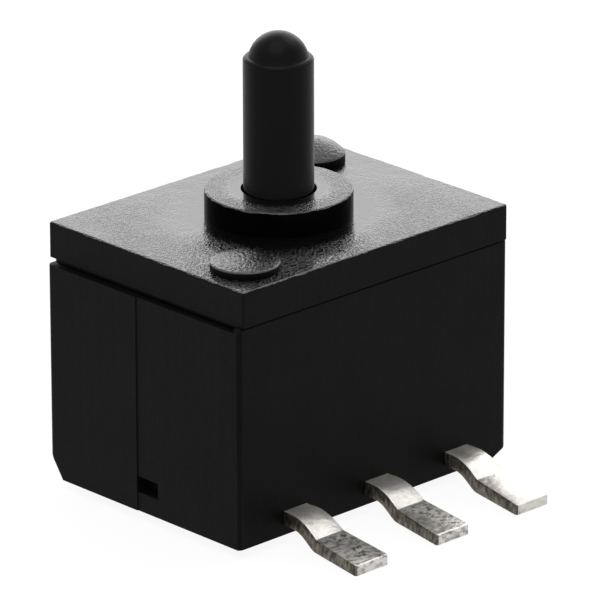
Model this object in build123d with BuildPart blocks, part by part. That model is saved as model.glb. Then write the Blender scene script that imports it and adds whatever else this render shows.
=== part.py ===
"""Surface-mount plunger micro switch (change-over), in millimetres.

+Z up, z = 0 is the board that the switch sits on. The origin lies on the plunger's axis.
The terminals leave the -Y wall in a row along X: common, normally closed, normally open.
"""

from build123d import *
from math import cos, radians, sin
import os

# Base housing
base_width = 6.67
base_depth = 4.97
wall = 0.6
floor_thickness = 0.65
base_shift = -0.02            # the base sits this far along X from the plunger's axis
corner_radius = 0.12
rim_chamfer = 0.05
rim_gap_height = 0.1          # rebate along the top of the -X wall, which leaves a gap under the cover
rim_gap_depth = 0.22
rear_bevel_run = 0.35         # bevel on the lower rear edge, along Y and up Z
rear_bevel_rise = 0.5
side_bevel_run = 0.34         # bevel on the lower +X edge, along X and up Z
side_bevel_rise = 0.16
panel_step = 0.02             # the front part of the -X wall is set in by this much
panel_edge_y = 0.15
notch_width = 0.52            # blind pocket low in the -X wall, in front of the step
notch_height = 0.3
notch_depth = 0.3
notch_rise = 0.36
standoff = 0.18               # height of the pads under the floor
centre_pad_diameter = 2.0
rear_pad_length = 1.1
rear_pad_width = 0.7
rear_pad_inset = 0.45

# Cover, collar and the two staked posts
cover_inset = 0.085           # the cover stops short of the base's end walls
cover_overhang = 0.035        # and stands out over its long walls
cover_thickness = 0.67
collar_diameter = 2.67
collar_height = 0.47
cover_edge = 0.03             # radius of the cover's and the collar's outer edges
post_inset = 0.88             # post centre to the cover's edges
post_diameter = 0.8
post_clearance = 0.03
post_block_margin = 0.12      # wall of the corner block round each post
stake_diameter = 1.25
stake_rim = 0.14
stake_edge_front = 0.04
stake_edge_rear = 0.09
stake_crown_front = 0.05
stake_crown_rear = 0.29

# Plunger
shaft_diameter = 1.27
shaft_clearance = 0.05
shaft_height = 2.96           # shoulder above the cover's top
tip_radius = 0.55
tip_height = 0.45             # top of the dome above the shoulder
shoulder_chamfer = 0.05
travel = 2.1
block_size = 2.4
block_height = 0.48
block_gap = 0.02              # between the block and the cover's underside
stem_size = 1.8
travel_margin = 0.05          # left between the stem and the floor when pressed
stem_margin = 0.024           # the stem reaches this far below the fingers' ends
spring_bore = 1.3
bore_roof = 0.2               # plastic left between the spring's bore and the block's top

# Return spring
spring_diameter = 0.98        # through the middle of the wire
spring_wire = 0.14
spring_turns = 7
spring_gap = 0.02
peg_diameter = 0.6
peg_height = 0.35

# Terminals and their fixed contacts, cut from one sheet
sheet = 0.27
pitch = 2.0
row_shift = 0.03              # the middle terminal's X
lead_width = 0.57
foot_width = 0.8
lead_height = 0.322           # middle of the sheet above the floor's underside
root_reach = 0.2              # straight root in front of the wall
slope_angle = 33.0
foot_length = 1.11
foot_angle = 5.5
foot_taper = 0.06             # the foot is pressed this much thinner at its tip
shoulder_fold = 0.615         # radius inside the bend by the wall
heel_fold = 0.025             # radius inside the crease where the foot begins
foot_edge = 0.075
foot_corner = 0.1             # radius of the foot's corners seen from above
blade_half = 0.5              # contact blades reach this far each way along Y
pad_gap = 0.4                 # between the two fixed pads on the +X wall, along Z
strip_gap = 0.14
blade_top_gap = 0.25

# Moving contact
leaf = 0.1
leaf_border = 0.3
finger_width = 0.6
finger_bend = 0.4
finger_sweep = 150
finger_gap = 0.03
finger_root = 0.2

# Heights and places that follow from the sizes above. The mechanism sets the base's height.
finger_drop = leaf + finger_bend * (1 + sin(radians(finger_sweep - 90)))
stem_length = finger_drop + stem_margin
base_bottom = standoff
floor_top = base_bottom + floor_thickness
stem_bottom = floor_top + travel_margin + travel
block_bottom = stem_bottom + stem_length
block_top = block_bottom + block_height
bore_top = block_top - bore_roof
base_top = block_top + block_gap
cover_top = base_top + cover_thickness
front_y = -base_depth / 2
rear_y = base_depth / 2
left_x = base_shift - base_width / 2
right_x = base_shift + base_width / 2
inner_left = left_x + wall
inner_right = right_x - wall
inner_front = front_y + wall
inner_rear = rear_y - wall
cover_width = base_width - 2 * cover_inset
cover_depth = base_depth + 2 * cover_overhang
post_x = cover_width / 2 - post_inset
post_y = cover_depth / 2 - post_inset
shoulder_z = cover_top + shaft_height
shaft_radius = shaft_diameter / 2
lead_z = base_bottom + lead_height
shoulder_bend = shoulder_fold + sheet / 2
heel_bend = heel_fold + sheet / 2
slope = radians(slope_angle)
tilt = radians(foot_angle)
tip_z = foot_edge - foot_edge * sin(tilt) - (foot_edge - sheet / 2) * cos(tilt)
bend_drop = shoulder_bend * (1 - cos(slope)) + heel_bend * (cos(tilt) - cos(slope))
bend_reach = shoulder_bend * sin(slope) + heel_bend * (sin(slope) - sin(tilt))
ramp_drop = lead_z - tip_z - bend_drop - foot_length * sin(tilt)
ramp_length = ramp_drop / sin(slope)
foot_reach = root_reach + bend_reach + ramp_length * cos(slope) + foot_length * cos(tilt)
strip_bottom = lead_z - sheet / 2
blade_top = base_top - blade_top_gap
left_blade = inner_left + sheet
right_blade = inner_right - sheet
common_x = row_shift - pitch
open_x = row_shift + pitch
contact_z = block_bottom - leaf / 2 - finger_bend
swap_z = contact_z - travel / 2
closed_strip_front = blade_half + strip_gap


def side_profile():
    """The strip's path seen along X: out of the wall, down a short slope, then the long foot."""
    with BuildSketch(Plane.YZ) as profile:
        with BuildLine():
            root = Line((inner_front, lead_z), (front_y - root_reach, lead_z))
            shoulder = JernArc(root @ 1, root % 1, shoulder_bend, slope_angle)
            ramp = Line(shoulder @ 1, shoulder @ 1 + (shoulder % 1) * ramp_length)
            heel = JernArc(ramp @ 1, ramp % 1, heel_bend, foot_angle - slope_angle)
            foot = Line(heel @ 1, heel @ 1 + (heel % 1) * foot_length)
        trace(line_width=sheet)
        upward = Vector(0, 1).rotate(Axis.Z, foot_angle)
        with BuildLine():
            Polyline(
                foot @ 0 + upward * (sheet / 2),
                foot @ 1 + upward * sheet,
                foot @ 1 + upward * (sheet / 2 - foot_taper),
                close=True,
            )
        make_face(mode=Mode.SUBTRACT)
        fillet(profile.vertices().sort_by(Axis.X)[:2], foot_edge)
    return profile.sketch


def plan_outline(x):
    """A lead seen from above: straight in the wall, then widening evenly to the tip of the foot."""
    with BuildSketch(Plane.XY) as outline:
        with BuildLine():
            Polyline(
                (x - lead_width / 2, inner_front),
                (x - lead_width / 2, front_y),
                (x - foot_width / 2, front_y - foot_reach),
                (x + foot_width / 2, front_y - foot_reach),
                (x + lead_width / 2, front_y),
                (x + lead_width / 2, inner_front),
                close=True,
            )
        make_face()
        fillet(outline.vertices().group_by(Axis.Y)[0], foot_corner)
    return outline.sketch


def rectangle_between(plane, low, high):
    """A rectangle given by two opposite corners on a plane."""
    with BuildSketch(plane) as shape:
        with Locations(((low[0] + high[0]) / 2, (low[1] + high[1]) / 2)):
            Rectangle(high[0] - low[0], high[1] - low[1])
    return shape.sketch


lead_side = side_profile()
strip_plane = Plane.XY.offset(strip_bottom)

# The common terminal: its blade stands on the -X wall, over the whole travel of the finger.
with BuildPart() as terminal_common:
    extrude(plan_outline(common_x), amount=base_top)
    extrude(lead_side, amount=base_width, both=True, mode=Mode.INTERSECT)
    extrude(
        rectangle_between(
            strip_plane,
            (common_x - lead_width / 2, inner_front),
            (common_x + lead_width / 2, blade_half),
        ),
        amount=sheet,
    )
    extrude(
        rectangle_between(
            strip_plane, (inner_left, -blade_half), (common_x, blade_half)
        ),
        amount=sheet,
    )
    extrude(
        rectangle_between(
            strip_plane, (inner_left, -blade_half), (left_blade, blade_half)
        ),
        amount=blade_top - strip_bottom,
    )
terminal_common.part.label = "terminal_common"

# The normally closed terminal: a stem beside the open pad carries the upper pad on the +X wall.
with BuildPart() as terminal_normally_closed:
    extrude(plan_outline(row_shift), amount=base_top)
    extrude(lead_side, amount=base_width, both=True, mode=Mode.INTERSECT)
    extrude(
        rectangle_between(
            strip_plane,
            (row_shift - lead_width / 2, inner_front),
            (row_shift + lead_width / 2, closed_strip_front + lead_width),
        ),
        amount=sheet,
    )
    extrude(
        rectangle_between(
            strip_plane,
            (row_shift, closed_strip_front),
            (inner_right, closed_strip_front + lead_width),
        ),
        amount=sheet,
    )
    extrude(
        rectangle_between(
            strip_plane,
            (right_blade, closed_strip_front),
            (inner_right, closed_strip_front + lead_width),
        ),
        amount=blade_top - strip_bottom,
    )
    extrude(
        rectangle_between(
            Plane.XY.offset(swap_z + pad_gap / 2),
            (right_blade, -blade_half),
            (inner_right, closed_strip_front + lead_width),
        ),
        amount=blade_top - swap_z - pad_gap / 2,
    )
terminal_normally_closed.part.label = "terminal_normally_closed"

# The normally open terminal: the lower pad on the +X wall, which the pressed finger reaches.
with BuildPart() as terminal_normally_open:
    extrude(plan_outline(open_x), amount=base_top)
    extrude(lead_side, amount=base_width, both=True, mode=Mode.INTERSECT)
    extrude(
        rectangle_between(
            strip_plane,
            (open_x - lead_width / 2, inner_front),
            (open_x + lead_width / 2, blade_half),
        ),
        amount=sheet,
    )
    extrude(
        rectangle_between(
            strip_plane, (open_x, -blade_half), (inner_right, blade_half)
        ),
        amount=sheet,
    )
    extrude(
        rectangle_between(
            strip_plane, (right_blade, -blade_half), (inner_right, blade_half)
        ),
        amount=swap_z - pad_gap / 2 - strip_bottom,
    )
terminal_normally_open.part.label = "terminal_normally_open"


def stake_profile(x, y, crown, edge):
    """Half section of a post with its formed head, which lies on the cover round its hole."""
    head_radius = stake_diameter / 2
    rim_top = cover_top + stake_rim
    with BuildSketch(Plane.XZ.offset(-y)) as section:
        with BuildLine():
            Polyline(
                (x, rim_top + crown),
                (x, base_top - post_diameter),
                (x + post_diameter / 2, base_top - post_diameter),
                (x + post_diameter / 2, cover_top),
                (x + head_radius, cover_top),
                (x + head_radius, rim_top),
            )
            TangentArc((x, rim_top + crown), (x + head_radius, rim_top), tangent=(1, 0))
        make_face()
        fillet(section.vertices().group_by(Axis.X)[-1].sort_by(Axis.Y)[-1], edge)
    return section.sketch


# The base: an open box that holds the terminals, with the two posts that fasten the cover.
with BuildPart() as base_housing:
    with BuildSketch(Plane.XZ):
        with BuildLine():
            Polyline(
                (left_x, base_bottom),
                (right_x - side_bevel_run, base_bottom),
                (right_x, base_bottom + side_bevel_rise),
                (right_x, base_top),
                (left_x, base_top),
                close=True,
            )
        make_face()
    extrude(amount=base_depth / 2, both=True)
    with BuildSketch(Plane.YZ):
        with BuildLine():
            Polyline(
                (front_y, base_bottom),
                (rear_y - rear_bevel_run, base_bottom),
                (rear_y, base_bottom + rear_bevel_rise),
                (rear_y, base_top),
                (front_y, base_top),
                close=True,
            )
        make_face()
    extrude(amount=base_width, both=True, mode=Mode.INTERSECT)
    fillet(base_housing.edges().filter_by(Axis.Z), corner_radius)
    chamfer(base_housing.faces().sort_by(Axis.Z)[-1].edges(), rim_chamfer)
    extrude(
        rectangle_between(
            Plane.XY.offset(base_top - rim_gap_height),
            (left_x, front_y + corner_radius),
            (left_x + rim_gap_depth, rear_y),
        ),
        amount=rim_gap_height,
        mode=Mode.SUBTRACT,
    )

    # Cavity, then the solid corners that carry the posts
    extrude(
        rectangle_between(
            Plane.XY.offset(floor_top), (inner_left, inner_front), (inner_right, inner_rear)
        ),
        amount=base_top,
        mode=Mode.SUBTRACT,
    )
    block_reach = post_diameter / 2 + post_block_margin
    extrude(
        rectangle_between(
            Plane.XY.offset(floor_top),
            (inner_left, inner_front),
            (block_reach - post_x, block_reach - post_y),
        ),
        amount=base_top - floor_top,
    )
    extrude(
        rectangle_between(
            Plane.XY.offset(floor_top),
            (post_x - block_reach, post_y - block_reach),
            (inner_right, inner_rear),
        ),
        amount=base_top - floor_top,
    )

    # Peg that centres the spring
    with BuildSketch(Plane.XY.offset(floor_top)):
        Circle(peg_diameter / 2)
    extrude(amount=peg_height)

    # Pads that set the seating height
    with BuildSketch(Plane.XY):
        Circle(centre_pad_diameter / 2)
        with Locations(
            (left_x + rear_pad_inset + rear_pad_length / 2, rear_y - rear_bevel_run - rear_pad_width / 2),
            (right_x - rear_pad_inset - rear_pad_length / 2, rear_y - rear_bevel_run - rear_pad_width / 2),
        ):
            Rectangle(rear_pad_length, rear_pad_width)
    extrude(amount=standoff)

    # The -X wall: a shallow step down its middle and a blind pocket at its foot
    extrude(
        rectangle_between(
            Plane.YZ.offset(left_x), (front_y, base_bottom), (panel_edge_y, base_top)
        ),
        amount=panel_step,
        mode=Mode.SUBTRACT,
    )
    extrude(
        rectangle_between(
            Plane.YZ.offset(left_x),
            (panel_edge_y - notch_width, base_bottom + notch_rise),
            (panel_edge_y, base_bottom + notch_rise + notch_height),
        ),
        amount=notch_depth,
        mode=Mode.SUBTRACT,
    )

    # Posts with their formed heads
    front_post = Axis((-post_x, -post_y, 0), (0, 0, 1))
    rear_post = Axis((post_x, post_y, 0), (0, 0, 1))
    revolve(stake_profile(-post_x, -post_y, stake_crown_front, stake_edge_front), front_post)
    revolve(stake_profile(post_x, post_y, stake_crown_rear, stake_edge_rear), rear_post)

    # The terminals are moulded in, so their metal is taken out of the plastic
    add(terminal_common.part, mode=Mode.SUBTRACT)
    add(terminal_normally_closed.part, mode=Mode.SUBTRACT)
    add(terminal_normally_open.part, mode=Mode.SUBTRACT)
base_housing.part.label = "base_housing"

# The cover: a flat plate with the collar that guides the plunger.
with BuildPart() as cover:
    with BuildSketch(Plane.XY.offset(base_top)):
        Rectangle(cover_width, cover_depth)
    extrude(amount=cover_thickness)
    fillet(cover.edges().filter_by(Axis.Z), cover_edge)
    fillet(cover.faces().sort_by(Axis.Z)[-1].edges(), cover_edge)
    with BuildSketch(Plane.XY.offset(cover_top)):
        Circle(collar_diameter / 2)
    extrude(amount=collar_height)
    fillet(cover.faces().sort_by(Axis.Z)[-1].edges(), cover_edge)
    with Locations((0, 0, cover_top + collar_height)):
        Hole(shaft_radius + shaft_clearance)
    with Locations((-post_x, -post_y, cover_top), (post_x, post_y, cover_top)):
        Hole(post_diameter / 2 + post_clearance)
cover.part.label = "cover"

# The plunger: a domed shaft on a square block that stops under the cover, hollow for the spring.
with BuildPart() as plunger:
    with BuildSketch(Plane.XY.offset(stem_bottom)):
        Rectangle(stem_size, stem_size)
    extrude(amount=block_bottom - stem_bottom)
    with BuildSketch(Plane.XY.offset(block_bottom)):
        Rectangle(block_size, block_size)
    extrude(amount=block_height)
    dome_base = (tip_radius**2 - (tip_radius - tip_height) ** 2) ** 0.5
    with BuildSketch(Plane.XZ):
        with BuildLine():
            Polyline(
                (0, shoulder_z + tip_height),
                (0, block_bottom),
                (shaft_radius, block_bottom),
                (shaft_radius, shoulder_z - shoulder_chamfer),
                (shaft_radius - shoulder_chamfer, shoulder_z),
                (dome_base, shoulder_z),
            )
            RadiusArc((0, shoulder_z + tip_height), (dome_base, shoulder_z), tip_radius)
        make_face()
    revolve(axis=Axis.Z)
    with BuildSketch(Plane.XY.offset(stem_bottom)):
        Circle(spring_bore / 2)
    extrude(amount=bore_top - stem_bottom, mode=Mode.SUBTRACT)
plunger.part.label = "plunger"

# The return spring: round wire between the floor and the end of the plunger's bore.
spring_start = floor_top + spring_wire / 2
spring_height = bore_top - spring_gap - spring_wire - floor_top
with BuildPart() as return_spring:
    with BuildLine():
        coil = Helix(
            pitch=spring_height / spring_turns,
            height=spring_height,
            radius=spring_diameter / 2,
            center=(0, 0, spring_start),
        )
    with BuildSketch(Plane(origin=coil @ 0, z_dir=coil % 0)):
        Circle(spring_wire / 2)
    sweep(path=coil, is_frenet=True)
return_spring.part.label = "return_spring"


def finger_profile(reach, side):
    """A spring finger seen along Y: out from the leaf, then one arc whose flank meets a blade."""
    turn_x = reach - leaf / 2 - finger_bend
    leaf_z = block_bottom - leaf / 2
    with BuildSketch(Plane.XZ) as profile:
        with BuildLine():
            arm = Line((side * finger_root, leaf_z), (side * turn_x, leaf_z))
            JernArc(start=arm @ 1, tangent=arm % 1, radius=finger_bend, arc_size=-side * finger_sweep)
        trace(line_width=leaf)
    return profile.sketch


# The moving contact: a leaf pushed over the stem, with a sprung finger to each side.
with BuildPart() as moving_contact:
    extrude(finger_profile(-left_blade - finger_gap, -1), amount=finger_width / 2, both=True)
    extrude(finger_profile(right_blade - finger_gap, 1), amount=finger_width / 2, both=True)
    with BuildSketch(Plane.XY.offset(block_bottom - leaf)):
        Rectangle(stem_size + 2 * leaf_border, stem_size + 2 * leaf_border)
    extrude(amount=leaf)
    with BuildSketch(Plane.XY.offset(block_bottom - leaf)):
        Rectangle(stem_size, stem_size)
    extrude(amount=leaf, mode=Mode.SUBTRACT)
moving_contact.part.label = "moving_contact"

os.makedirs("parts", exist_ok=True)
export_step(base_housing.part, "parts/base_housing.step")
export_step(cover.part, "parts/cover.step")
export_step(plunger.part, "parts/plunger.step")
export_step(return_spring.part, "parts/return_spring.step")
export_step(moving_contact.part, "parts/moving_contact.step")
export_step(terminal_common.part, "parts/terminal_common.step")
export_step(terminal_normally_closed.part, "parts/terminal_normally_closed.step")
export_step(terminal_normally_open.part, "parts/terminal_normally_open.step")
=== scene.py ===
from math import cos, pi, radians, sin

import bmesh
import bpy
from mathutils import Matrix, Vector, noise


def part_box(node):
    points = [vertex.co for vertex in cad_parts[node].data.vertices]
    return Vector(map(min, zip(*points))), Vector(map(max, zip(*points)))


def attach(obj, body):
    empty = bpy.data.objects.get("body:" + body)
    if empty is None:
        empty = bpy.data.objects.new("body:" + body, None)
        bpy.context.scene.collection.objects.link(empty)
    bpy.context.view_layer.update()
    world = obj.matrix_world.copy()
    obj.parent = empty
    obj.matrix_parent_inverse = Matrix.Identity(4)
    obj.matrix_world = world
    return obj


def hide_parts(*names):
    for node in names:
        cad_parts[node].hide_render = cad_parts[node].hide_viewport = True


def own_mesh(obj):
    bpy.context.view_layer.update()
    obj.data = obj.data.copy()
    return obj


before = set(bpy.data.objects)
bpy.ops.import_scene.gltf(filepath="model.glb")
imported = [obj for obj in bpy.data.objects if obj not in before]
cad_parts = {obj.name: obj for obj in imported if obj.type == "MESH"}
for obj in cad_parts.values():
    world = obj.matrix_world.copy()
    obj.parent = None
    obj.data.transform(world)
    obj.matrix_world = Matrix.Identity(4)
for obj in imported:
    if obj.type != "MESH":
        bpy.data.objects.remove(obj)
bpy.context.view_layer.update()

mm = 0.001


# Viewpoint: a long lens that looks down on the switch by about 21 degrees.
# The camera stands off the corner between the -X wall and the wall with the terminals.
lens_mm = 427.75
sensor_mm = 36.0
aim = Vector((0.4418, -0.0784, 3.2533)) * mm
towards_camera = Vector((-0.64517, -0.67608, 0.35592))
camera_right = Vector((0.72345, -0.69038, 0.0))
camera_distance = 128.18 * mm
roll_radians = 0.0023

camera_up = towards_camera.cross(camera_right).normalized()
turned_right = camera_right - roll_radians * camera_up
turned_up = camera_up + roll_radians * camera_right
camera_data = bpy.data.cameras.new("camera")
camera_data.lens = lens_mm
camera_data.sensor_width = sensor_mm
camera_data.clip_start = 5 * mm
camera_data.clip_end = 5.0
camera = bpy.data.objects.new("camera", camera_data)
bpy.context.scene.collection.objects.link(camera)
camera_axes = Matrix((turned_right, turned_up, towards_camera)).transposed()
camera.matrix_world = Matrix.Translation(aim + camera_distance * towards_camera) @ camera_axes.to_4x4()
bpy.context.scene.camera = camera


# Base housing: one black glass-filled moulding. Its two posts pass through the cover and their ends are
# heat-formed into heads. The walls are matt from the mould; the formed heads are shinier and uneven.
edge_break = 0.012 * mm
edge_angle = radians(28)
collar_height = 0.47 * mm
weld_gap = 0.0001 * mm
head_margin = 0.01 * mm
wall_colour = (0.0032, 0.0032, 0.0031, 1.0)
wall_shine = 0.062
head_colour = (0.003, 0.003, 0.003, 1.0)


def closed_copy(node, name):
    """The CAD piece as one closed mesh of flat faces, ready for finishing."""
    mesh = bpy.data.meshes.new(name)
    piece = bpy.data.objects.new(name, mesh)
    bpy.context.scene.collection.objects.link(piece)
    shape = bmesh.new()
    shape.from_mesh(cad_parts[node].data)
    bmesh.ops.remove_doubles(shape, verts=shape.verts, dist=weld_gap)
    bmesh.ops.dissolve_limit(shape, angle_limit=radians(0.5), verts=shape.verts, edges=shape.edges)
    shape.to_mesh(mesh)
    shape.free()
    return piece


def keep_flat(piece):
    """Lets each large flat face keep its own direction: only the small edge faces shade round."""
    flat = piece.modifiers.new("flat_faces", "WEIGHTED_NORMAL")
    flat.mode = "FACE_AREA"
    flat.weight = 100
    flat.keep_sharp = True


def break_edges(piece, width):
    """Rounds every sharp edge by a hair, as a mould or a press leaves it, and smooths curved faces."""
    bevel = piece.modifiers.new("edge_break", "BEVEL")
    bevel.width = width
    bevel.segments = 2
    bevel.limit_method = "ANGLE"
    bevel.angle_limit = edge_angle
    piece.data.shade_smooth()
    keep_flat(piece)


def blank_material(name):
    """A new material: its node tree, its shader and the object's own coordinates."""
    material = bpy.data.materials.new(name)
    material.use_nodes = True
    tree = material.node_tree
    shader = tree.nodes["Principled BSDF"]
    place = tree.nodes.new("ShaderNodeTexCoord").outputs["Object"]
    return material, tree, shader, place


def noise_field(tree, place, feature, detail=2.0, stretch=(1, 1, 1)):
    """Soft random values from 0 to 1 whose spots are about `feature` across."""
    mapping = tree.nodes.new("ShaderNodeMapping")
    mapping.vector_type = "TEXTURE"
    mapping.inputs["Scale"].default_value = [feature * s for s in stretch]
    tree.links.new(place, mapping.inputs["Vector"])
    field = tree.nodes.new("ShaderNodeTexNoise")
    field.inputs["Scale"].default_value = 1.0
    field.inputs["Detail"].default_value = detail
    tree.links.new(mapping.outputs["Vector"], field.inputs["Vector"])
    return field.outputs["Fac"]


def remap(tree, value, low, high, to_low, to_high):
    """Stretches the stretch low..high of a value over to_low..to_high, and clamps it there."""
    node = tree.nodes.new("ShaderNodeMapRange")
    node.inputs["From Min"].default_value = low
    node.inputs["From Max"].default_value = high
    node.inputs["To Min"].default_value = to_low
    node.inputs["To Max"].default_value = to_high
    tree.links.new(value, node.inputs["Value"])
    return node.outputs["Result"]


def arithmetic(tree, operation, first, second):
    """One sum, product or the like of two values, each a socket or a number."""
    node = tree.nodes.new("ShaderNodeMath")
    node.operation = operation
    for socket, value in zip(node.inputs, (first, second)):
        if isinstance(value, (int, float)):
            socket.default_value = value
        else:
            tree.links.new(value, socket)
    return node.outputs["Value"]


def blend_colours(tree, factor, first, second):
    """A colour between two, by a factor from 0 to 1."""
    node = tree.nodes.new("ShaderNodeMix")
    node.data_type = "RGBA"
    node.inputs[6].default_value = first
    node.inputs[7].default_value = second
    tree.links.new(factor, node.inputs[0])
    return node.outputs[2]


def emboss(tree, shader, height, depth):
    """Raises and sinks the surface by a height field of the given depth."""
    bump = tree.nodes.new("ShaderNodeBump")
    bump.inputs["Distance"].default_value = depth
    bump.inputs["Strength"].default_value = 1.0
    tree.links.new(height, bump.inputs["Height"])
    tree.links.new(bump.outputs["Normal"], shader.inputs["Normal"])


def shade(colour, factor):
    """The same colour, lighter or darker."""
    return tuple(channel * factor for channel in colour[:3]) + (1.0,)


def moulded_plastic(name, colour, shine, rough, grain, depth, streaks=0.0):
    """Black plastic with a fine mould grain, slight clouds and, on tall walls, faint vertical streaks."""
    material, tree, shader, place = blank_material(name)
    cloud = noise_field(tree, place, 0.9 * mm, 3.0)
    tint = remap(tree, cloud, 0.3, 0.7, 0.0, 1.0)
    colours = blend_colours(tree, tint, shade(colour, 0.82), shade(colour, 1.22))
    tree.links.new(colours, shader.inputs["Base Color"])
    fine = noise_field(tree, place, grain, 3.0)
    dulling = remap(tree, fine, 0.3, 0.7, rough - 0.06, rough + 0.1)
    tree.links.new(dulling, shader.inputs["Roughness"])
    height = fine
    if streaks:
        drawn = noise_field(tree, place, 0.16 * mm, 2.0, (1, 1, 22))
        height = arithmetic(tree, "ADD", fine, arithmetic(tree, "MULTIPLY", drawn, streaks))
    emboss(tree, shader, height, depth)
    shader.inputs["Specular IOR Level"].default_value = shine
    return material


housing_walls = moulded_plastic("housing_walls", wall_colour, wall_shine, rough=0.48,
                                grain=0.05 * mm, depth=0.0022 * mm, streaks=1.6)
formed_heads = moulded_plastic("formed_heads", head_colour, shine=0.7, rough=0.16,
                               grain=0.06 * mm, depth=0.024 * mm)

base_housing = closed_copy("base_housing", "housing_moulding")
cover_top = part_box("cover")[1].z - collar_height
base_housing.data.materials.append(housing_walls)
base_housing.data.materials.append(formed_heads)
for face in base_housing.data.polygons:
    on_head = face.center.z > cover_top + head_margin and face.normal.z > 0.3
    face.material_index = int(on_head)
break_edges(base_housing, edge_break)
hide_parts("base_housing")
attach(base_housing, "housing")


# Terminals: three strips stamped from one tinned brass sheet, bent down to the board and moulded into
# the base. The plating is satin and slightly mottled. The first two feet carry painted shade in mottled
# spots, a painted reflection of the dark housing behind them; the sheared side edges are bare and darker.
tin_colour = (0.66, 0.635, 0.595, 1.0)
sheared_colour = (0.135, 0.12, 0.1, 1.0)
press_radius = 0.024 * mm
foot_start = -3.35 * mm
last_foot_start = 1.6 * mm

tinned, tree, shader, place = blank_material("tinned_face")
patches = noise_field(tree, place, 0.34 * mm, 3.0)
plating_and_reflection_spots = noise_field(tree, place, 0.075 * mm, 5.0, (1.5, 1, 1))
axes = tree.nodes.new("ShaderNodeSeparateXYZ")
tree.links.new(place, axes.inputs["Vector"])
# Painted reflection: mostly the flat feet of the first two terminals are darkened in spots, standing for the
# dark housing they mirror.
on_foot = remap(tree, axes.outputs["Y"], foot_start - 0.1 * mm, foot_start, 1.0, 0.2)
not_last = remap(tree, axes.outputs["X"], last_foot_start - mm, last_foot_start, 1.0, 0.25)
painted_reflection_feet = arithmetic(tree, "MULTIPLY", on_foot, not_last)
painted_reflection_patches = arithmetic(tree, "MULTIPLY", painted_reflection_feet, remap(tree, patches, 0.35, 0.6, 0.4, 1.0))
painted_reflection_spots = arithmetic(tree, "MULTIPLY", painted_reflection_patches, remap(tree, plating_and_reflection_spots, 0.38, 0.54, 1.0, 0.0))
tin_with_painted_reflection = blend_colours(tree, painted_reflection_spots, tin_colour, shade(tin_colour, 0.22))
tree.links.new(tin_with_painted_reflection, shader.inputs["Base Color"])
tree.links.new(remap(tree, patches, 0.3, 0.7, 0.3, 0.46), shader.inputs["Roughness"])
plating = arithmetic(tree, "ADD", patches, arithmetic(tree, "MULTIPLY", plating_and_reflection_spots, 0.35))
emboss(tree, shader, plating, 0.018 * mm)
shader.inputs["Metallic"].default_value = 0.78

sheared, tree, shader, place = blank_material("sheared_edge")
torn = noise_field(tree, place, 0.07 * mm, 3.0, (1, 1, 2))
torn_look = blend_colours(tree, remap(tree, torn, 0.35, 0.65, 0.0, 1.0),
                          shade(sheared_colour, 0.4), shade(sheared_colour, 1.6))
tree.links.new(torn_look, shader.inputs["Base Color"])
emboss(tree, shader, torn, 0.012 * mm)
shader.inputs["Roughness"].default_value = 0.5
shader.inputs["Metallic"].default_value = 1.0

for terminal in ("terminal_common", "terminal_normally_closed", "terminal_normally_open"):
    strip = closed_copy(terminal, terminal + "_strip")
    strip.data.materials.append(tinned)
    strip.data.materials.append(sheared)
    for face in strip.data.polygons:
        face.material_index = int(abs(face.normal.x) > 0.7)
    break_edges(strip, press_radius)
    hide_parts(terminal)
    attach(strip, "housing")


# Cover: a flat black moulding with the collar that guides the plunger, held by the two formed heads.
# Its glossy upper faces carry a fine pitted grain, coarsest towards the front corner and nearly smooth close
# to the collar and the plunger. Its sides are as matt as the walls, and its upper edges are a little nicked.
# The collar's side has a glossier finish and a darker colour; the darker colour is painted shade.
grain_size = 0.045 * mm
wave_size = 0.3 * mm
patch_size = 1.1 * mm
grain_depth = 0.016 * mm
smooth_share = 0.12
nick_size = 0.02 * mm
nick_step = 0.035 * mm
fine_wear = 0.08 * mm
broad_wear = 0.3 * mm
edge_radius = 0.031 * mm
collar_radius = 1.335 * mm
gloss_colour = (0.003, 0.003, 0.003, 1.0)
# The collar's side colour is darker than the walls: painted shade for the dark lid it reflects.
painted_shade_collar_colour = (0.0009, 0.0009, 0.0009, 1.0)
cover_low, cover_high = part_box("cover")

sandy, tree, shader, place = blank_material("cover_upper_face")
grain = noise_field(tree, place, grain_size)
waves = noise_field(tree, place, wave_size)
patches = noise_field(tree, place, patch_size)
axes = tree.nodes.new("ShaderNodeSeparateXYZ")
tree.links.new(place, axes.inputs["Vector"])
across, back = axes.outputs["X"], axes.outputs["Y"]
rearward = arithmetic(tree, "ADD", across, arithmetic(tree, "MULTIPLY", back, 1.6))
coarse = remap(tree, rearward, -6.5 * mm, 3.0 * mm, 1.0, smooth_share)
patchy = remap(tree, patches, 0.35, 0.65, 0.55, 1.25)
pits = remap(tree, grain, 0.44, 0.62, 1.0, 0.0)
sand = arithmetic(tree, "MULTIPLY", arithmetic(tree, "MULTIPLY", coarse, patchy), pits)
uneven = arithmetic(tree, "ADD", sand, arithmetic(tree, "MULTIPLY", waves, 0.45))

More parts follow.
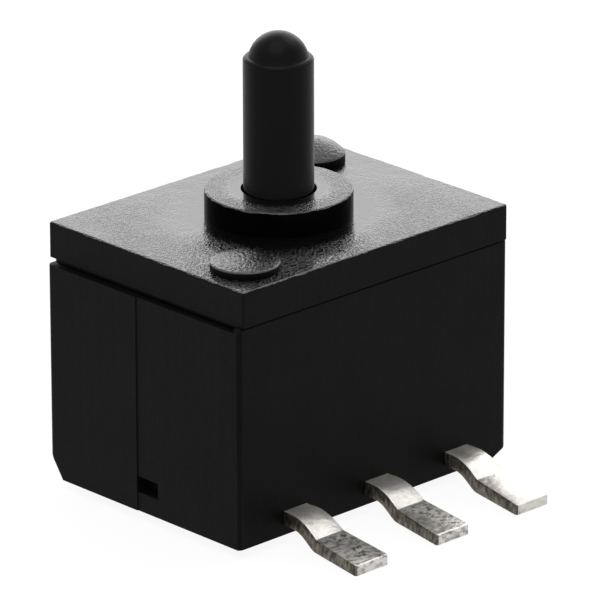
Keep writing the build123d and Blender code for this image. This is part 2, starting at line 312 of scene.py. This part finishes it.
across_squared = arithmetic(tree, "POWER", across, 2.0)
back_squared = arithmetic(tree, "POWER", back, 2.0)
from_axis = arithmetic(tree, "SQRT", arithmetic(tree, "ADD", across_squared, back_squared), 0.0)
plate_share = remap(tree, from_axis, 1.6 * mm, 2.3 * mm, smooth_share, 1.0)
collar_share = remap(tree, from_axis, 0.85 * mm, 1.1 * mm, smooth_share, 1.6)
on_collar = remap(tree, from_axis, collar_radius - 0.04 * mm, collar_radius - 0.02 * mm, 1.0, 0.0)
share = arithmetic(tree, "MAXIMUM", plate_share, arithmetic(tree, "MULTIPLY", on_collar, collar_share))
relief = arithmetic(tree, "MULTIPLY", uneven, share)
emboss(tree, shader, relief, grain_depth)
tree.links.new(remap(tree, waves, 0.3, 0.7, 0.08, 0.15), shader.inputs["Roughness"])
shader.inputs["Base Color"].default_value = gloss_colour
shader.inputs["IOR"].default_value = 1.55
shader.inputs["Specular IOR Level"].default_value = 0.5

cover = closed_copy("cover", "cover_plate")
shape = bmesh.new()
shape.from_mesh(cover.data)


def lies_high(edge, level):
    """Whether both ends of an edge lie above a level."""
    return min(vertex.co.z for vertex in edge.verts) > level


def lies_outside(edge, radius):
    """Whether both ends of an edge lie outside a radius round the plunger's axis."""
    return min(vertex.co.xy.length for vertex in edge.verts) > radius


plate_rim = [edge for edge in shape.edges
             if edge.calc_length() > 4 * mm and lies_high(edge, cover_top - 0.04 * mm)]
rim_cuts = int((cover_high.x - cover_low.x) / nick_step)
bmesh.ops.subdivide_edges(shape, edges=plate_rim, cuts=rim_cuts, use_grid_fill=False)
collar_rim = [edge for edge in shape.edges
              if lies_high(edge, cover_high.z - edge_radius) and edge.calc_length() > 1.5 * nick_step
              and lies_outside(edge, collar_radius - edge_radius)]
bmesh.ops.subdivide_edges(shape, edges=collar_rim, cuts=4, use_grid_fill=False)
for vertex in shape.verts:
    spot = vertex.co.copy()
    edge_gap = min(spot.x - cover_low.x, cover_high.x - spot.x,
                   spot.y - cover_low.y, cover_high.y - spot.y)
    on_plate_rim = abs(spot.z - cover_top) < edge_radius and edge_gap < 1.3 * edge_radius
    on_collar_rim = (spot.z > cover_high.z - edge_radius
                     and spot.xy.length > collar_radius - 1.3 * edge_radius)
    if not (on_plate_rim or on_collar_rim):
        continue
    wear = 0.7 * noise.noise(spot / fine_wear) + noise.noise(spot / broad_wear) + 0.15
    nick = nick_size * max(wear, 0)
    face_level = cover_high.z if on_collar_rim else cover_top
    if face_level - spot.z > 0.001 * mm:
        vertex.co.z -= nick
    else:
        vertex.co.xy *= 1 - nick / spot.xy.length
shape.to_mesh(cover.data)
shape.free()
# Painted shade: the collar's side gets a darker copy of the black plastic, standing for the dark lid it
# reflects; its lower roughness is its real gloss.
collar_side_painted_shade = moulded_plastic("collar_side_painted_shade", painted_shade_collar_colour, shine=0.02, rough=0.25,
                              grain=0.05 * mm, depth=0.001 * mm)
for finish in (housing_walls, sandy, collar_side_painted_shade):
    cover.data.materials.append(finish)
for face in cover.data.polygons:
    if face.normal.z > 0.6:
        face.material_index = 1
    elif face.center.z > cover_top:
        face.material_index = 2
cover.data.shade_smooth()
cover.data.set_sharp_from_angle(angle=edge_angle)
keep_flat(cover)
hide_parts("cover")
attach(cover, "housing")


# Plunger: one smooth black acetal moulding, a round shaft with a domed tip on a square block.
# It slides in the collar, and rubbing has left fine lines along the shaft.
plunger_colour = (0.0015, 0.0014, 0.0015, 1.0)
plunger_material = moulded_plastic("plunger_acetal", plunger_colour, shine=0.09, rough=0.3,
                                   grain=0.03 * mm, depth=0.0012 * mm, streaks=1.2)
plunger = closed_copy("plunger", "plunger_moulding")
plunger.data.materials.append(plunger_material)
break_edges(plunger, edge_break)
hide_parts("plunger")
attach(plunger, "plunger")


# Moving contact: a leaf of bright phosphor bronze, stamped and bent, pressed over the plunger's stem.
# Its two fingers wipe along the fixed blades.
bronze_dark = (0.62, 0.45, 0.25, 1.0)
bronze_light = (0.78, 0.6, 0.37, 1.0)
leaf_edge = 0.008 * mm

bronze, tree, shader, place = blank_material("contact_bronze")
rolled = noise_field(tree, place, 0.03 * mm, 2.0, (12, 1, 1))
bronze_look = blend_colours(tree, remap(tree, rolled, 0.35, 0.65, 0.0, 1.0), bronze_dark, bronze_light)
tree.links.new(bronze_look, shader.inputs["Base Color"])
tree.links.new(remap(tree, rolled, 0.3, 0.7, 0.2, 0.32), shader.inputs["Roughness"])
emboss(tree, shader, rolled, 0.002 * mm)
shader.inputs["Metallic"].default_value = 1.0
contact = closed_copy("moving_contact", "moving_contact_leaf")
contact.data.materials.append(bronze)
break_edges(contact, leaf_edge)
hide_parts("moving_contact")
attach(contact, "plunger")


# Return spring: a coil of drawn stainless wire that stands on the floor's peg, inside the plunger's bore.
# Its first and last turns lie close, so that it stands square.
spring_turns = 8
closed_turns = 1.0
wire_diameter = 0.14 * mm
points_per_turn = 36
wire_sides = 14
wire_dark = (0.45, 0.45, 0.44, 1.0)
wire_light = (0.62, 0.62, 0.6, 1.0)
spring_low, spring_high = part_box("return_spring")

wire_material, tree, shader, place = blank_material("spring_wire")
drawn = noise_field(tree, place, 0.02 * mm, 2.0, (5, 5, 1))
wire_look = blend_colours(tree, remap(tree, drawn, 0.35, 0.65, 0.0, 1.0), wire_dark, wire_light)
tree.links.new(wire_look, shader.inputs["Base Color"])
emboss(tree, shader, drawn, 0.001 * mm)
shader.inputs["Roughness"].default_value = 0.24
shader.inputs["Metallic"].default_value = 1.0

coil = bpy.data.node_groups.new("wound_spring", "GeometryNodeTree")
coil.interface.new_socket("Geometry", in_out="OUTPUT", socket_type="NodeSocketGeometry")
spring_sizes = {
    "Turns": float(spring_turns),
    "Closed Turns": closed_turns,
    "Mean Radius": (spring_high.x - spring_low.x - wire_diameter) / 2,
    "Wire Radius": wire_diameter / 2,
    "Foot": spring_low.z,
    "Height": spring_high.z - spring_low.z,
}
for label in spring_sizes:
    coil.interface.new_socket(label, in_out="INPUT", socket_type="NodeSocketFloat")
sizes = coil.nodes.new("NodeGroupInput").outputs


def coil_math(operation, first, second=0.0):
    """One step of arithmetic in the spring's node tree."""
    node = coil.nodes.new("ShaderNodeMath")
    node.operation = operation
    for socket, value in zip(node.inputs, (first, second)):
        if isinstance(value, (int, float)):
            socket.default_value = value
        else:
            coil.links.new(value, socket)
    return node.outputs["Value"]


helix = coil.nodes.new("GeometryNodeCurveSpiral")
helix.inputs["Resolution"].default_value = points_per_turn
helix.inputs["Height"].default_value = 0.0
coil.links.new(sizes["Turns"], helix.inputs["Rotations"])
coil.links.new(sizes["Mean Radius"], helix.inputs["Start Radius"])
coil.links.new(sizes["Mean Radius"], helix.inputs["End Radius"])
along = coil.nodes.new("GeometryNodeSplineParameter").outputs["Factor"]
turn = coil_math("MULTIPLY", along, sizes["Turns"])
wire_pitch = coil_math("MULTIPLY", sizes["Wire Radius"], 2.04)
open_turns = coil_math("SUBTRACT", sizes["Turns"], coil_math("MULTIPLY", sizes["Closed Turns"], 2.0))
first_turns = coil_math("MINIMUM", turn, sizes["Closed Turns"])
last_start = coil_math("ADD", sizes["Closed Turns"], open_turns)
last_turns = coil_math("MAXIMUM", coil_math("SUBTRACT", turn, last_start), 0.0)
middle_turns = coil_math("SUBTRACT", coil_math("SUBTRACT", turn, first_turns), last_turns)
closed_height = coil_math("MULTIPLY", wire_pitch, coil_math("MULTIPLY", sizes["Closed Turns"], 2.0))
wire_thickness = coil_math("MULTIPLY", sizes["Wire Radius"], 2.0)
free_height = coil_math("SUBTRACT", coil_math("SUBTRACT", sizes["Height"], closed_height), wire_thickness)
closed_rise = coil_math("MULTIPLY", coil_math("ADD", first_turns, last_turns), wire_pitch)
open_rise = coil_math("MULTIPLY", coil_math("DIVIDE", middle_turns, open_turns), free_height)
rise = coil_math("ADD", closed_rise, open_rise)
wire_z = coil_math("ADD", coil_math("ADD", sizes["Foot"], sizes["Wire Radius"]), rise)
flat_place = coil.nodes.new("ShaderNodeSeparateXYZ")
point_place = coil.nodes.new("GeometryNodeInputPosition").outputs["Position"]
coil.links.new(point_place, flat_place.inputs["Vector"])
wire_place = coil.nodes.new("ShaderNodeCombineXYZ")
coil.links.new(flat_place.outputs["X"], wire_place.inputs["X"])
coil.links.new(flat_place.outputs["Y"], wire_place.inputs["Y"])
coil.links.new(wire_z, wire_place.inputs["Z"])
lift = coil.nodes.new("GeometryNodeSetPosition")
coil.links.new(helix.outputs["Curve"], lift.inputs["Geometry"])
coil.links.new(wire_place.outputs["Vector"], lift.inputs["Position"])
wire_section = coil.nodes.new("GeometryNodeCurvePrimitiveCircle")
wire_section.inputs["Resolution"].default_value = wire_sides
coil.links.new(sizes["Wire Radius"], wire_section.inputs["Radius"])
wire = coil.nodes.new("GeometryNodeCurveToMesh")
wire.inputs["Fill Caps"].default_value = True
coil.links.new(lift.outputs["Geometry"], wire.inputs["Curve"])
coil.links.new(wire_section.outputs["Curve"], wire.inputs["Profile Curve"])
realize = coil.nodes.new("GeometryNodeRealizeInstances")
coil.links.new(wire.outputs["Mesh"], realize.inputs["Geometry"])
paint = coil.nodes.new("GeometryNodeSetMaterial")
paint.inputs["Material"].default_value = wire_material
coil.links.new(realize.outputs["Geometry"], paint.inputs["Geometry"])
coil_output = coil.nodes.new("NodeGroupOutput")
coil.links.new(paint.outputs["Geometry"], coil_output.inputs["Geometry"])

spring = bpy.data.objects.new("return_spring_coil", bpy.data.meshes.new("return_spring_seed"))
bpy.context.scene.collection.objects.link(spring)
winding = spring.modifiers.new("winding", "NODES")
winding.node_group = coil
for socket in coil.interface.items_tree:
    if socket.in_out == "INPUT":
        winding[socket.identifier] = spring_sizes[socket.name]
evaluated = spring.evaluated_get(bpy.context.evaluated_depsgraph_get())
wound = bpy.data.meshes.new_from_object(evaluated)
spring.modifiers.remove(winding)
spring.data = wound
spring.data.shade_smooth()
spring.data.set_sharp_from_angle(angle=radians(60))
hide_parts("return_spring")
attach(spring, "housing")
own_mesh(spring)


# Studio: a plain white floor at the level of the board and an even white surround. The cover's upper face
# picks up the soft lamp behind the switch, and the terminals' slopes pick up the one beside it.
floor_reach = 0.5
floor_white = 0.82
floor_glow = 0.84
glow_strength = 1.09
surround_level = 0.5


def seen_directly(tree):
    """1 for what the camera, a reflection or a clear body sees, 0 for the light that falls on things."""
    path = tree.nodes.new("ShaderNodeLightPath").outputs
    shown = arithmetic(tree, "MAXIMUM", path["Is Camera Ray"], path["Is Glossy Ray"])
    return arithmetic(tree, "MAXIMUM", shown, path["Is Transmission Ray"])


floor_mesh = bpy.data.meshes.new("floor")
corners = [(-floor_reach, -floor_reach, 0), (floor_reach, -floor_reach, 0),
           (floor_reach, floor_reach, 0), (-floor_reach, floor_reach, 0)]
floor_mesh.from_pydata(corners, [], [(0, 1, 2, 3)])
floor = bpy.data.objects.new("floor", floor_mesh)
bpy.context.scene.collection.objects.link(floor)
floor_material, tree, shader, place = blank_material("floor_white")
shader.inputs["Base Color"].default_value = (floor_white, floor_white, floor_white, 1.0)
shader.inputs["Roughness"].default_value = 1.0
shader.inputs["Specular IOR Level"].default_value = 0.0
glow = tree.nodes.new("ShaderNodeEmission")
glow.inputs["Strength"].default_value = glow_strength
surface = tree.nodes.new("ShaderNodeMixShader")
tree.links.new(arithmetic(tree, "MULTIPLY", seen_directly(tree), floor_glow), surface.inputs["Fac"])
tree.links.new(shader.outputs["BSDF"], surface.inputs[1])
tree.links.new(glow.outputs["Emission"], surface.inputs[2])
tree.links.new(surface.outputs["Shader"], tree.nodes["Material Output"].inputs["Surface"])
floor_mesh.materials.append(floor_material)

world = bpy.data.worlds.new("surround")
world.use_nodes = True
bpy.context.scene.world = world
tree = world.node_tree
background = tree.nodes["Background"]
background.inputs["Color"].default_value = (1.0, 1.0, 1.0, 1.0)
level = remap(tree, seen_directly(tree), 0.0, 1.0, surround_level, 1.0)
tree.links.new(level, background.inputs["Strength"])


def soft_lamp(name, azimuth, elevation, distance, width, height, radiance):
    """A rectangular soft lamp aimed at the switch. Azimuth 0 stands before the terminals, 90 at +X."""
    lamp_data = bpy.data.lights.new(name, "AREA")
    lamp_data.shape = "RECTANGLE"
    lamp_data.size = width
    lamp_data.size_y = height
    lamp_data.energy = radiance * pi * width * height
    lamp = bpy.data.objects.new(name, lamp_data)
    bpy.context.scene.collection.objects.link(lamp)
    turn_round, rise_up = radians(azimuth), radians(elevation)
    way = Vector((sin(turn_round) * cos(rise_up), -cos(turn_round) * cos(rise_up), sin(rise_up)))
    lamp.location = aim + way * distance
    lamp.rotation_euler = way.to_track_quat("Z", "Y").to_euler()
    lamp.visible_camera = False


lamp_distance = 0.16
soft_lamp("rear_lamp", 136, 24, lamp_distance, 0.2, 0.13, radiance=1.56)
soft_lamp("side_lamp", 88, 52, lamp_distance, 0.09, 0.09, radiance=1.5)
soft_lamp("overhead_lamp", -60, 72, lamp_distance, 0.14, 0.14, radiance=1.2)

bpy.context.scene.view_settings.view_transform = "Standard"
